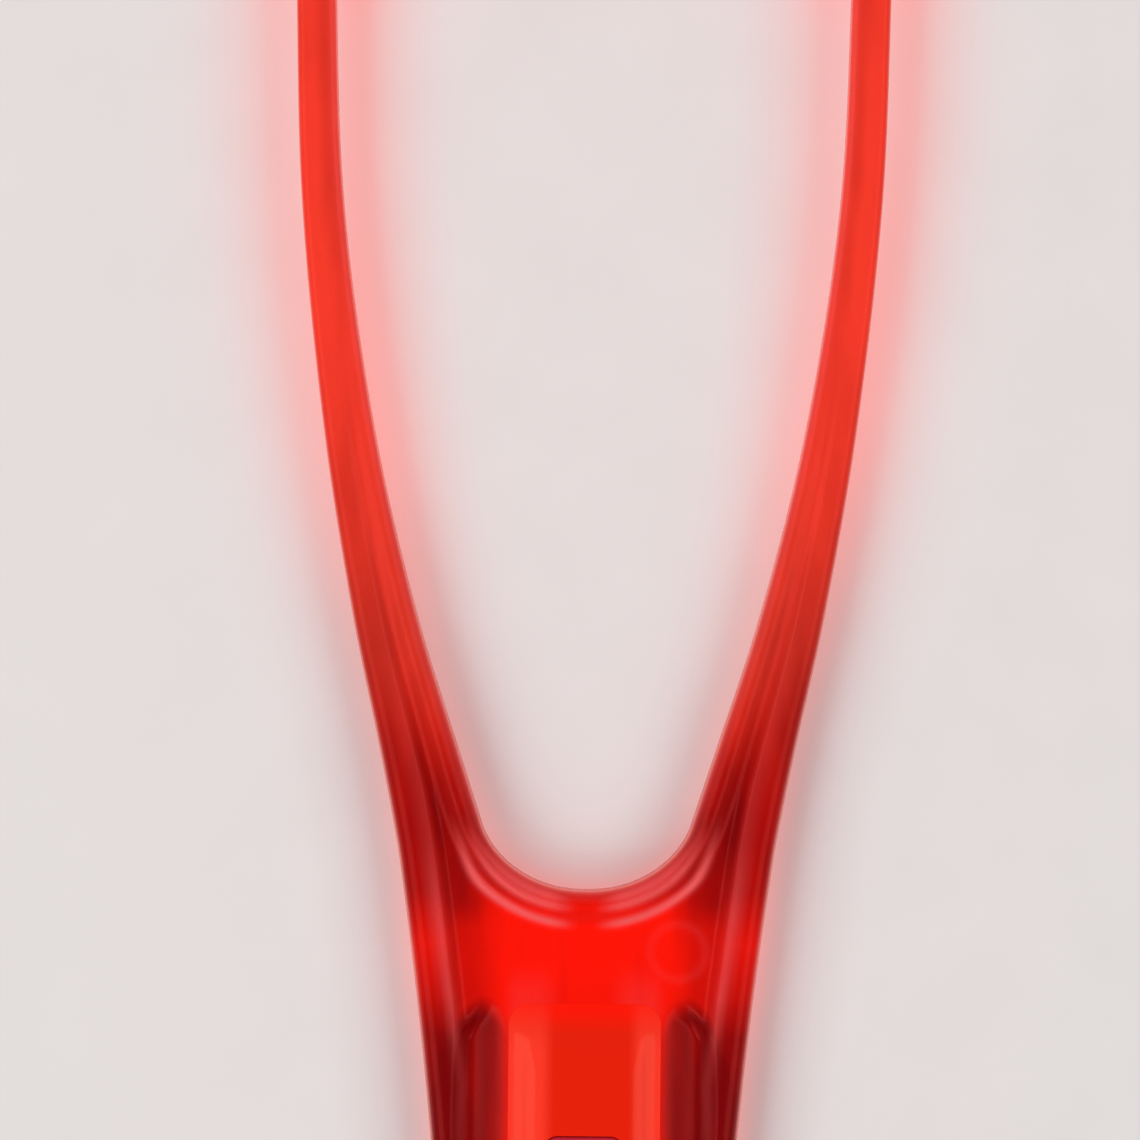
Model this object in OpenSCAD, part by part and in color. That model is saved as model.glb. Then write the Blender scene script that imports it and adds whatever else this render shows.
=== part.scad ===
// Tongue scraper: a forked handle of clear tinted plastic, with an arched bar across its two arms
// that carries two scraping blades. It lies on its back: X across, Y towards the head, Z up.

/* [Overall] */
// Length from the top of the head to the end of the handle
overall_l = 172; // [156:1:190]
// Height of the head above the crotch of its opening
head_l = 86; // [78:1:94]
// Width across the head
head_w = 45; // [42:0.2:49]

/* [Frame] */
// Width across the junction, level with the crotch
throat_w = 27.6; // [25:0.1:31]
// Width across the waist of the handle
waist_w = 19.8; // [18.6:0.1:22]
// Width across the end of the handle
tail_w = 21; // [19:0.1:24]
// Length over which the junction narrows to the waist of the handle
neck_l = 55; // [45:1:65]
// Length of the rounded end of the handle
tail_round_l = 9; // [7:0.5:12]
// Thickness of the handle and the junction
handle_t = 5; // [4.8:0.1:6]
// Width of an arm at its root
arm_root_w = 7.4; // [6.8:0.1:8.5]
// Width of an arm at its tip
arm_tip_w = 3; // [2.8:0.1:4]
// Thickness of an arm at its tip
arm_tip_t = 3.4; // [3.2:0.1:4.4]
// Height of the rounded bottom of the opening
crotch_h = 5; // [4:0.1:7]
// Height of the arm tips above the plane that the handle lies on
head_lift = 2.6; // [2:0.1:4]
// Radius along the outer edges of the handle
edge_r = 1.3; // [0.8:0.1:1.6]
// Width of the rail along each side of the handle
rail_w = 1.7; // [1.6:0.1:1.9]
// Width of the rail beside the junction
junction_rail_w = 2.7; // [2:0.1:3]
// Width of the slope on the inner side of a rail
rail_slope_w = 0.8; // [0.4:0.1:0.9]
// Width of the bead round the opening
bead_w = 2.8; // [2.4:0.1:3.2]
// Depth of the front web below the rails and the bead
web_drop = 0.8; // [0.4:0.1:1]
// Depth of the back web below the rails and the bead
back_drop = 0.7; // [0.3:0.1:0.9]
// Depth of the two flutes below the front web
flute_d = 1.1; // [0.5:0.1:1.3]
// Distance from the crotch down to the top of the flutes
flute_top = 8.2; // [7:0.1:10]
// Length of a flute's steep upper end
flute_end_l = 2; // [1:0.1:3]
// Distance from the crotch down to where the flutes run out
flute_foot = 34; // [28:1:40]
// Length over which the flutes run out
flute_fade_l = 12; // [6:1:16]
// Width of a flute's slope on the side of the inlay
flute_slope_w = 2; // [1:0.1:2.4]
// Width of the ledge between the inlay and a flute
ledge_w = 0.35; // [0.2:0.05:0.5]

/* [Inlay] */
// Width of the inlay along the handle
inlay_w = 11.5; // [10:0.1:11.8]
// Width of the inlay's flat crown
crown_w = 6.6; // [6.4:0.1:8]
// Height of the crown above the web
crown_h = 0.7; // [0.3:0.1:1]
// Depth of the inlay's root below the web
root_d = 1.5; // [1.3:0.1:1.7]
// Distance from the crotch down to the inlay
inlay_top = 8.6; // [7:0.1:12]
// Distance from the inlay to the end of the handle
inlay_end_gap = 9.5; // [8:0.5:14]
// Radius of the inlay's corners
inlay_corner_r = 1.6; // [1:0.1:3]
// Length of the slope at each end of the crown
crown_end_l = 1.6; // [1:0.1:3]

/* [Pads] */
// Width of the thumb pad
thumb_pad_w = 6; // [4:0.1:6.2]
// Length of the thumb pad
thumb_pad_l = 30; // [20:1:40]
// Distance from the crotch down to the thumb pad
thumb_pad_top = 18.6; // [14:0.1:30]
// Thickness of the thumb pad between its ribs
thumb_pad_t = 1; // [0.8:0.1:1.2]
// Radius of the thumb pad's corners
thumb_corner_r = 1; // [0.5:0.1:2]
// Width of a rib of the thumb pad
thumb_rib_w = 1.1; // [0.6:0.1:1.6]
// Height of a rib above the thumb pad
thumb_rib_h = 0.35; // [0.2:0.05:0.5]
// Spacing of the ribs
thumb_rib_pitch = 2.4; // [1.8:0.1:4]
// Margin of the thumb pad round its ribs
thumb_margin = 0.7; // [0.4:0.1:1.5]
// Width of the back grip
back_grip_w = 10.6; // [8:0.1:11]
// Distance from the crotch down to the back grip
back_grip_top = 14; // [10:0.5:20]
// Distance from the back grip to the end of the handle
back_grip_end_gap = 11; // [9:0.5:16]
// Thickness of the back grip
back_grip_t = 1.5; // [1.2:0.1:1.7]
// Radius of the back grip's corners
back_grip_corner_r = 4; // [2:0.1:4]
// Width of a groove across the back grip
grip_groove_w = 1; // [0.5:0.1:1.4]
// Spacing of the grooves
grip_groove_pitch = 3.2; // [2:0.1:5]
// Margin of the back grip round its grooves
back_grip_margin = 1.5; // [0.6:0.1:2]

/* [Scraper bar] */
// Height of the bar piece, from the arm tips to its top
bar_h = 16.5; // [16:0.1:20]
// Radius of the bar's arched top
arch_r = 35; // [30:1:50]
// Depth of the bar, from its top edge to the opening
bar_d = 6; // [5.4:0.1:7]
// Outer radius of the bar's corners
corner_r = 8; // [6:0.1:9]
// Inner radius of the bar's corners
inner_corner_r = 5; // [3:0.1:6]
// Diameter of the spigot on each arm tip
spigot_d = 1.8; // [1.4:0.1:2]
// Length of the spigots
spigot_l = 4; // [3:0.1:4.5]

/* [Blades] */
// Thickness of a blade where it leaves the bar
blade_t = 1; // [0.8:0.05:1.2]
// Thickness of a blade's root, which locks it in the bar
blade_root_t = 1.3; // [1.25:0.05:1.5]
// Thickness of a blade at its scraping edge
blade_edge_t = 0.4; // [0.3:0.05:0.6]
// Depth of a blade's root in the bar
blade_root_d = 1.4; // [1:0.1:1.6]
// Distance from an edge of the bar to the middle of its blade
blade_inset = 1.4; // [1.3:0.1:1.6]
// Width of a notch between two teeth of the ridged blade
notch_w = 1; // [0.6:0.1:1.2]
// Spacing of the teeth
tooth_pitch = 1.7; // [1.4:0.1:3]

/* [Fits] */
// Gap round each seated piece
fit_gap = 0.04; // [0.02:0.01:0.08]
// Gap between the blind end of a bore and its spigot
bore_end_gap = 0.3; // [0.1:0.1:0.6]

/* [Hidden] */
$fn = 96;
overrun = 1;

handle_l = overall_l - head_l;
joint_l = head_l - bar_h;
crotch_y = handle_l - overall_l / 2;
web_z = handle_t - web_drop;
crown_z = web_z + crown_h;
root_z = web_z - root_d;
feature_w = junction_rail_w + rail_slope_w + bead_w;

// Share of an arm's height, then share of its spread from the junction's width to the head's
arm_spread_shares = [[0, 0], [0.05, 0.06], [0.15, 0.215], [0.3, 0.467], [0.5, 0.728], [0.75, 0.935], [1, 1]];
// The heights at which the arms start and stop rising, as shares of their height
rise_shares = [0.1, 0.9];
// The height at which the arms stop thinning, as a share of theirs
thin_share = 0.8;
// Where the handle starts to swell towards its end, as a share of its length
swell_share = 0.55;
// Where the rail starts to widen towards the junction, as a share of the neck's length
widen_share = 0.37;
// Where the web's two inner lines run between bead and rail, as shares of the way to the rail
web_line_shares = [0.7, 0.35];
// How much of the arch each blade takes
blade_span_share = 0.85;
// Powers by which an arm thins towards its tip and the junction narrows to the waist, where 1 is straight
arm_power = 2.4;
neck_power = 2;
// Power of the rounded ends, where 2 gives an ellipse and more a squarer end
round_power = 2.2;

function smooth(t) = t <= 0 ? 0 : t >= 1 ? 1 : t * t * (3 - 2 * t);
function ramp(v, low, high) = smooth((v - low) / (high - low));
function mix(a, b, t) = a + (b - a) * t;
function steps(from, to, n) = [for (i = [0 : n - 1]) mix(from, to, i / n)];

// The smooth curve through a table of pairs
function table_slope(table, i) =
    let (a = table[max(i - 1, 0)], b = table[min(i + 1, len(table) - 1)]) (b[1] - a[1]) / (b[0] - a[0]);
function table_row(table, t, i = 0) =
    i >= len(table) - 2 || t <= table[i + 1][0] ? i : table_row(table, t, i + 1);
function along(table, t) = let (
    i = table_row(table, t),
    w = table[i + 1][0] - table[i][0],
    q = (t - table[i][0]) / w)
    mix(table[i][1], table[i + 1][1], smooth(q))
    + w * q * (1 - q) * (table_slope(table, i) * (1 - q) - table_slope(table, i + 1) * q);

// Half the frame's width, an arm's width and half the opening's width at the height y above the crotch
function outer_edge(y) = y > 0
    ? mix(throat_w, head_w, along(arm_spread_shares, y / joint_l)) / 2
    : mix(waist_w, throat_w, pow(max(0, 1 + y / neck_l), neck_power)) / 2
        + (tail_w - waist_w) / 2 * ramp(-y, swell_share * handle_l, handle_l - tail_round_l);
function arm_width(y) = mix(arm_tip_w, arm_root_w, pow(1 - max(y, 0) / joint_l, arm_power));
function opening(y) = outer_edge(max(y, 0)) - arm_width(y);

// The side view, and how the rails, the bead and the web shrink as the arms narrow
function lift(y) = head_lift * ramp(y, rise_shares[0] * joint_l, rise_shares[1] * joint_l);
function thickness(y) = mix(handle_t, arm_tip_t, ramp(y, 0, thin_share * joint_l));
function shrink(y) = min(1, arm_width(y) / feature_w);
function hollow(y) = smooth((arm_width(y) - arm_tip_w) / (feature_w - arm_tip_w));
function rail(y) = mix(rail_w, junction_rail_w, ramp(y, -widen_share * neck_l, -flute_top));
function flute(y) =
    ramp(y, -flute_foot, -flute_foot + flute_fade_l) * (1 - ramp(y, -flute_top - flute_end_l, -flute_top));

// The rounding of an edge: its drop at the distance d, and the distances at which the loft samples it
function edge_drop(d) = d >= edge_r ? 0 : edge_r - sqrt(pow(edge_r, 2) - pow(edge_r - d, 2));
edge_steps = [for (a = [0 : 22.5 : 90]) edge_r * (1 - cos(a))];
bead_steps = concat(
    bead_w,
    (bead_w + edge_r) / 2,
    [for (i = [len(edge_steps) - 1 : -1 : 0]) edge_steps[i]]);

// How far a rounded end has turned at the angle a: its width as a share at a, its length at 90 - a
function bend(a) = pow(sin(a), 2 / round_power);

// The loft's points, from the outer edge in, as [x, y, edge drop, share of the web's depth, share of the
// flute's]. In the handle's rounded end and round the crotch the rows fan out, each at its angle a.
function outer_points(y, a) = [for (d = concat(edge_steps, rail(y), rail(y) + rail_slope_w))
    let (web = d > rail(y) ? 1 : 0)
        [(outer_edge(y) - d * shrink(y)) * bend(a), y - (tail_round_l - d) * bend(90 - a),
            shrink(y) * edge_drop(d), web, web * flute(y)]];
function opening_points(y, a) = [for (d = bead_steps)
    let (k = shrink(y), foot_y = y - (crotch_h + d * k) * bend(90 - a))
        [(opening(foot_y) + d * k) * bend(a), foot_y, k * edge_drop(d), ramp(d, edge_r, bead_w), 0]];
function web_points(y, rail_foot, bead_foot) = let (
    room = outer_edge(y) - rail(y) - rail_slope_w,
    ledge = inlay_w / 2 + fit_gap + ledge_w)
    [for (i = [0, 1]) let (
        handle_share = min(1, (ledge + (1 - i) * flute_slope_w) / room),
        p = mix(bead_foot, rail_foot, mix(handle_share, web_line_shares[i], ramp(y, -flute_top, -bead_w))))
        [p[0], p[1], 0, 1, (1 - i) * flute(y)]];
function row(y, outer, inner) = concat(outer, web_points(y, outer[len(outer) - 1], inner[0]), inner);
function handle_row(y, a) = row(y, outer_points(y, a), [for (d = bead_steps) [0, y, 0, 1, 0]]);
function arm_row(y, foot_y, a) = row(y, outer_points(y, 90), opening_points(foot_y, a));

frame_rows = concat(
    [for (a = [0 : 10 : 80]) handle_row(tail_round_l - handle_l, a)],
    [for (y = concat(
        steps(tail_round_l - handle_l, -flute_foot, 5),
        steps(-flute_foot, -flute_top - flute_end_l, 7),
        steps(-flute_top - flute_end_l, -flute_top, 5),
        steps(-flute_top, -bead_w, 2))) handle_row(y, 90)],
    [for (a = [0 : 7.5 : 82.5]) arm_row(mix(-bead_w, crotch_h, a / 90), crotch_h, a)],
    [for (y = concat(steps(crotch_h, joint_l, 18), joint_l)) arm_row(y, y, 90)]);

// A ring of points round half a row: the front inwards, then the back outwards
function front_z(p) =
    lift(p[1]) + thickness(p[1]) - p[2] - hollow(p[1]) * (p[3] * web_drop + p[4] * flute_d);
function back_z(p) = lift(p[1]) + p[2] + hollow(p[1]) * p[3] * back_drop;
function ring(points, side) = concat(
    [for (p = points) [side * p[0], p[1], front_z(p)]],
    [for (i = [len(points) - 1 : -1 : 0]) let (p = points[i]) [side * p[0], p[1], back_z(p)]]);

// The triangles between rings of n points, and those of them that are real and not on the middle plane
function pair(a, b, c, d) = [[a, b, c], [a, c, d]];
function between(rings, n) = [for (i = [0 : rings - 2], j = [0 : n - 1])
    each pair(i * n + j, i * n + (j + 1) % n, (i + 1) * n + (j + 1) % n, (i + 1) * n + j)];
function real(points, faces) = [for (f = faces) let (p = points[f[0]], q = points[f[1]], r = points[f[2]])
    if (p != q && q != r && r != p && max(abs(p[0]), abs(q[0]), abs(r[0])) > 0) f];

module frame_body() {
    n = 2 * len(frame_rows[0]);
    count = n * len(frame_rows);
    points = [for (side = [1, -1], r = frame_rows) each ring(r, side)];
    right = between(len(frame_rows), n);
    left = [for (f = right) [f[2], f[1], f[0]] + [1, 1, 1] * count];
    right_tip = [for (j = [1 : n]) count - n + j - 1];
    left_tip = [for (j = [1 : n]) 2 * count - j];
    polyhedron(points, concat(real(points, concat(right, left)), [right_tip, left_tip]));
}

// A plate with rounded corners that stands on z = 0, or with a gap the pocket that takes it
module plate(w, l, h, r, gap = 0) {
    linear_extrude(h) {
        square([w - 2 * r, l + 2 * gap], center = true);
        square([w + 2 * gap, l - 2 * r], center = true);
        for (x = [-1, 1], y = [-1, 1]) translate([x * (w / 2 - r), y * (l / 2 - r)]) circle(r + gap);
    }
}

// Places or angles of n copies, set evenly about zero
function evenly(n, pitch) = [for (i = [0 : n - 1]) (i - (n - 1) / 2) * pitch];

// Places its children midway between two distances below the crotch
module below_crotch(from, to, z) {
    translate([0, -(from + to) / 2, z]) children();
}

inlay_foot = handle_l - inlay_end_gap;
inlay_l = inlay_foot - inlay_top;
back_grip_foot = handle_l - back_grip_end_gap;
back_grip_l = back_grip_foot - back_grip_top;

module spigots(gap, extra) {
    for (x = [-1, 1])
        translate([x * (head_w - arm_tip_w) / 2, joint_l - overrun, head_lift + arm_tip_t / 2])
            rotate([-90, 0, 0]) cylinder(r = spigot_d / 2 + gap, h = overrun + spigot_l + extra);
}

module frame() {
    color([0.84, 0.07, 0.06, 0.9])
        translate([0, crotch_y, 0]) {
            difference() {
                frame_body();
                below_crotch(inlay_top, inlay_foot, root_z)
                    plate(inlay_w, inlay_l, root_d + overrun, inlay_corner_r, fit_gap);
                below_crotch(back_grip_top, back_grip_foot, -overrun)
                    plate(back_grip_w, back_grip_l, back_grip_t + overrun, back_grip_corner_r, fit_gap);
            }
            spigots(0, 0);
        }
}

// The arch's centre and the corners' centres, above the crotch
arch_y = head_l - arch_r;
function corner_centre(x, r) = [x, arch_y + sqrt(pow(r, 2) - pow(x, 2))];
outer_centre = corner_centre(head_w / 2 - corner_r, arch_r - corner_r);
inner_centre = corner_centre(head_w / 2 - arm_tip_w - inner_corner_r, arch_r - bar_d - inner_corner_r);
function turn(centre) = atan2(centre[1] - arch_y, centre[0]);

// A point on an edge of the bar: t runs up the leg to 1, round the corner to 2 and along the arch to 3
function bar_edge(t, centre, r, arch) = t < 1
    ? [centre[0] + r, mix(joint_l, centre[1], t)]
    : t < 2
        ? centre + r * [cos(turn(centre) * (t - 1)), sin(turn(centre) * (t - 1))]
        : [0, arch_y] + arch * [cos(mix(turn(centre), 90, t - 2)), sin(mix(turn(centre), 90, t - 2))];

// The bar's rounded section at t, from its outer edge in along the top and back along the underside
function bar_ring(t, side) = let (
    a = bar_edge(t, outer_centre, corner_r, arch_r),
    b = bar_edge(t, inner_centre, inner_corner_r, arch_r - bar_d),
    across = (b - a) / norm(b - a),
    r = edge_r * shrink(joint_l),
    rim = [for (q = [0 : 22.5 : 90]) r * [1 - cos(q), 1 - sin(q)]],
    half = concat(
        [for (p = rim) concat(a + across * p[0], p[1])],
        [for (i = [len(rim) - 1 : -1 : 0]) concat(b - across * rim[i][0], rim[i][1])]))
    concat(
        [for (p = half) [side * p[0], p[1], head_lift + arm_tip_t - p[2]]],
        [for (i = [len(half) - 1 : -1 : 0]) [side * half[i][0], half[i][1], head_lift + half[i][2]]]);

module bar_body() {
    right = concat(steps(0, 1, 2), steps(1, 2, 9), steps(2, 3, 10));
    rings = concat(
        [for (t = concat(right, 3)) bar_ring(t, 1)],
        [for (i = [len(right) - 1 : -1 : 0]) bar_ring(right[i], -1)]);
    n = len(rings[0]);
    last = len(rings) * n - n;
    polyhedron(
        [for (r = rings) each r],
        concat(
            between(len(rings), n),
            [[for (j = [n - 1 : -1 : 0]) j]],
            [[for (j = [0 : n - 1]) last + j]]));
}

smooth_r = arch_r - blade_inset;
ridged_r = arch_r - bar_d + blade_inset;
smooth_span = (90 - turn(outer_centre)) * blade_span_share;
ridged_span = (90 - turn(inner_centre)) * blade_span_share;

// Sweeps a profile, drawn as distance from the arch's centre and height, along the arch
module arch_sweep(span) {
    translate([0, arch_y, 0]) rotate([0, 0, 90 - span]) rotate_extrude(angle = 2 * span) children();
}

module blade(r, span) {
    arch_sweep(span)
        polygon([
            [r - blade_root_t / 2, head_lift + blade_root_d],
            [r - blade_t / 2, head_lift],
            [r - blade_edge_t / 2, 0],
            [r + blade_edge_t / 2, 0],
            [r + blade_t / 2, head_lift],
            [r + blade_root_t / 2, head_lift + blade_root_d]]);
}

module blade_slot(r, span) {
    arch_sweep(span + fit_gap / r * 180 / PI)
        polygon([
            [r - blade_root_t / 2 - fit_gap, head_lift + blade_root_d + fit_gap],
            [r - blade_t / 2 - fit_gap, head_lift],
            [r - blade_t / 2 - fit_gap, head_lift - overrun],
            [r + blade_t / 2 + fit_gap, head_lift - overrun],
            [r + blade_t / 2 + fit_gap, head_lift],
            [r + blade_root_t / 2 + fit_gap, head_lift + blade_root_d + fit_gap]]);
}

module scraper_bar() {
    color([0.84, 0.07, 0.06, 0.9])
        translate([0, crotch_y, 0])
            difference() {
                bar_body();
                spigots(fit_gap, bore_end_gap);
                blade_slot(smooth_r, smooth_span);
                blade_slot(ridged_r, ridged_span);
            }
}

module smooth_blade() {
    color([0.95, 0.3, 0.25, 0.8]) translate([0, crotch_y, 0]) blade(smooth_r, smooth_span);
}

module ridged_blade() {
    pitch_angle = tooth_pitch / ridged_r * 180 / PI;
    notches = floor(2 * ridged_span / pitch_angle) - 1;
    color([0.95, 0.3, 0.25, 0.8])
        translate([0, crotch_y, 0])
            difference() {
                blade(ridged_r, ridged_span);
                for (a = evenly(notches, pitch_angle))
                    translate([0, arch_y, 0])
                        rotate([90, 0, a])
                            translate([0, 0, -ridged_r])
                                cylinder(r = notch_w / 2, h = blade_t + overrun, center = true, $fn = 4);
            }
}

module handle_inlay() {
    color([0.95, 0.12, 0.07])
        translate([0, crotch_y, 0])
            difference() {
                intersection() {
                    below_crotch(inlay_top, inlay_foot, root_z)
                        plate(inlay_w, inlay_l, root_d + crown_h, inlay_corner_r);
                    rotate([90, 0, 0])
                        linear_extrude(handle_l)
                            polygon([
                                [-inlay_w / 2, root_z],
                                [inlay_w / 2, root_z],
                                [inlay_w / 2, web_z],
                                [crown_w / 2, crown_z],
                                [-crown_w / 2, crown_z],
                                [-inlay_w / 2, web_z]]);
                    translate([-inlay_w / 2, 0, 0])
                        rotate([90, 0, 90])
                            linear_extrude(inlay_w)
                                polygon([
                                    [-inlay_foot, root_z],
                                    [-inlay_top, root_z],
                                    [-inlay_top, web_z],
                                    [-inlay_top - crown_end_l, crown_z],
                                    [-inlay_foot + crown_end_l, crown_z],
                                    [-inlay_foot, web_z]]);
                }
                below_crotch(thumb_pad_top, thumb_pad_top + thumb_pad_l, crown_z - thumb_pad_t)
                    plate(thumb_pad_w, thumb_pad_l, thumb_pad_t + overrun, thumb_corner_r, fit_gap);
            }
}

module thumb_pad() {
    room = thumb_pad_l - 2 * thumb_margin - thumb_rib_w;
    ribs = floor(room / thumb_rib_pitch) + 1;
    rib_r = (pow(thumb_rib_w / 2, 2) + pow(thumb_rib_h, 2)) / (2 * thumb_rib_h);
    color([0.7, 0.12, 0.18])
        translate([0, crotch_y, 0])
            below_crotch(thumb_pad_top, thumb_pad_top + thumb_pad_l, crown_z - thumb_pad_t) {
                plate(thumb_pad_w, thumb_pad_l, thumb_pad_t, thumb_corner_r);
                for (y = evenly(ribs, thumb_rib_pitch))
                    translate([0, y, thumb_pad_t + thumb_rib_h - rib_r])
                        rotate([0, 90, 0])
                            cylinder(r = rib_r, h = thumb_pad_w - 2 * thumb_margin, center = true);
            }
}

module back_grip() {
    room = back_grip_l - 2 * back_grip_margin - grip_groove_w;
    grooves = floor(room / grip_groove_pitch) + 1;
    groove_l = back_grip_w - 2 * back_grip_margin;
    color([0.7, 0.12, 0.18])
        translate([0, crotch_y, 0])
            below_crotch(back_grip_top, back_grip_foot, 0)
                difference() {
                    plate(back_grip_w, back_grip_l, back_grip_t, back_grip_corner_r);
                    for (y = evenly(grooves, grip_groove_pitch))
                        translate([0, y, 0])
                            rotate([0, 90, 0])
                                cylinder(r = grip_groove_w / 2, h = groove_l, center = true);
                }
}

frame();
scraper_bar();
smooth_blade();
ridged_blade();
handle_inlay();
thumb_pad();
back_grip();
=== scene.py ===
"""Dresses a tongue scraper in its finishes: a clear red fork and head, soft pads and a pale studio."""

import math

import bmesh
import bpy
import numpy as np
from bpy.props import FloatProperty, FloatVectorProperty, PointerProperty
from bpy.types import Operator, Panel, PropertyGroup
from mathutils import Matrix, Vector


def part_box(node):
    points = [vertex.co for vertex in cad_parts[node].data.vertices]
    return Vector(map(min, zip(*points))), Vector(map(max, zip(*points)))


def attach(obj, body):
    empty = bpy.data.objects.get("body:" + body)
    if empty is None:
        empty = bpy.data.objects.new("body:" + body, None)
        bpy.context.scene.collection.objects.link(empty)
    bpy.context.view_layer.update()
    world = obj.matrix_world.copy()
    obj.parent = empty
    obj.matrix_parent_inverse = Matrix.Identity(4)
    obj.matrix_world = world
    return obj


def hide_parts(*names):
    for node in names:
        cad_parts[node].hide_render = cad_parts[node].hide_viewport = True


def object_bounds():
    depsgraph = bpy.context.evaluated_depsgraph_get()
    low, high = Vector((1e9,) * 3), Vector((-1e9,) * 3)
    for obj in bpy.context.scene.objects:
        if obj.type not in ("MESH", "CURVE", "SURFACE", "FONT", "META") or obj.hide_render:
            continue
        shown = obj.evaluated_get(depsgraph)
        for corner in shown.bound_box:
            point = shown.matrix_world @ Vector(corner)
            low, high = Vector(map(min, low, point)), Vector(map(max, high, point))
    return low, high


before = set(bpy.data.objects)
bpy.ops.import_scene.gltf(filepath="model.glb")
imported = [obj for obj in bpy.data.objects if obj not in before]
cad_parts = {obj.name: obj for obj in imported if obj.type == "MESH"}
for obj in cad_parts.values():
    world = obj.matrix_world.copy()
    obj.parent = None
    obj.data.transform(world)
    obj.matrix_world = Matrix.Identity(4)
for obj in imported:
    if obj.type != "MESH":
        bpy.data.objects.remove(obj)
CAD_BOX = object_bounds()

bl_info = {
    "name": "Tongue Scraper",
    "version": (1, 0, 0),
    "blender": (4, 5, 0),
    "location": "View3D > Sidebar > Scraper",
    "description": "Builds a clear plastic tongue scraper with two blades and soft grip pads",
    "category": "Object",
}

MM = 0.001
BODY = "root"
FRAME_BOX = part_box("frame")
BAR_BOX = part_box("scraper_bar")
INLAY_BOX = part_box("handle_inlay")
THUMB_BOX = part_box("thumb_pad")
GRIP_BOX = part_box("back_grip")
# How far a cutting tool reaches past the face that it cuts, and how close points have to be to become one
OVERRUN = 1 * MM
SAME_PLACE = 0.001 * MM
# The streaks that the flowing plastic leaves along the handle and across the head, in X, Y and Z
STREAKS_ALONG = (2.4 * MM, 11 * MM, 2.4 * MM)
STREAKS_ACROSS = (11 * MM, 2.4 * MM, 2.4 * MM)
# The faint clouds in the blades and the board, and the rubber's grain, which is drawn coarser to show
BLADE_CLOUD = 10 / 3 * MM
BOARD_CLOUD = 25 / 3 * MM
RUBBER_GRAIN = 0.25 * MM
# The tint that light gets from thin clear plastic, the upper part of a thick wall and a blade. A red above 1
# stands for the light that the edges gather
THIN_SHADOW = (1.18, 0.45, 0.41, 1)
WALL_SHADOW = (0.15, 0.04, 0.05, 1)
BLADE_SHADOW = (1, 0.75, 0.73, 1)
# The upward part of the normal at which a rounded edge gets most of its painted glow, where it lets light
# out, and how far that spreads
EDGE_TILT = 0.28
EDGE_SPREAD = 0.18
# The distance between a pad's sections, and the steps across it and over its rim
PAD_STEP = 0.12 * MM
PAD_WIDTH_STEPS = 44
PAD_EDGE_STEPS = 7
# The sockets of a Mix node that mixes colours
MIX_FACTOR, MIX_LOW, MIX_HIGH, MIXED = 0, 6, 7, 2


def linear(colour):
    """Turns an sRGB hex value into the linear red, green and blue that the shaders take."""
    parts = [int(colour[i:i + 2], 16) / 255 for i in (1, 3, 5)]
    return tuple(v / 12.92 if v <= 0.04045 else ((v + 0.055) / 1.055) ** 2.4 for v in parts)


def length(name, description, millimetres):
    """A size in the sidebar, given in millimetres and kept in metres."""
    return FloatProperty(
        name=name, description=description, default=millimetres * MM, min=0, precision=4, unit="LENGTH")


def tint(name, description, colour):
    """A colour in the sidebar, given as an sRGB hex value."""
    return FloatVectorProperty(
        name=name, description=description, default=linear(colour), min=0, max=1, subtype="COLOR")


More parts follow.
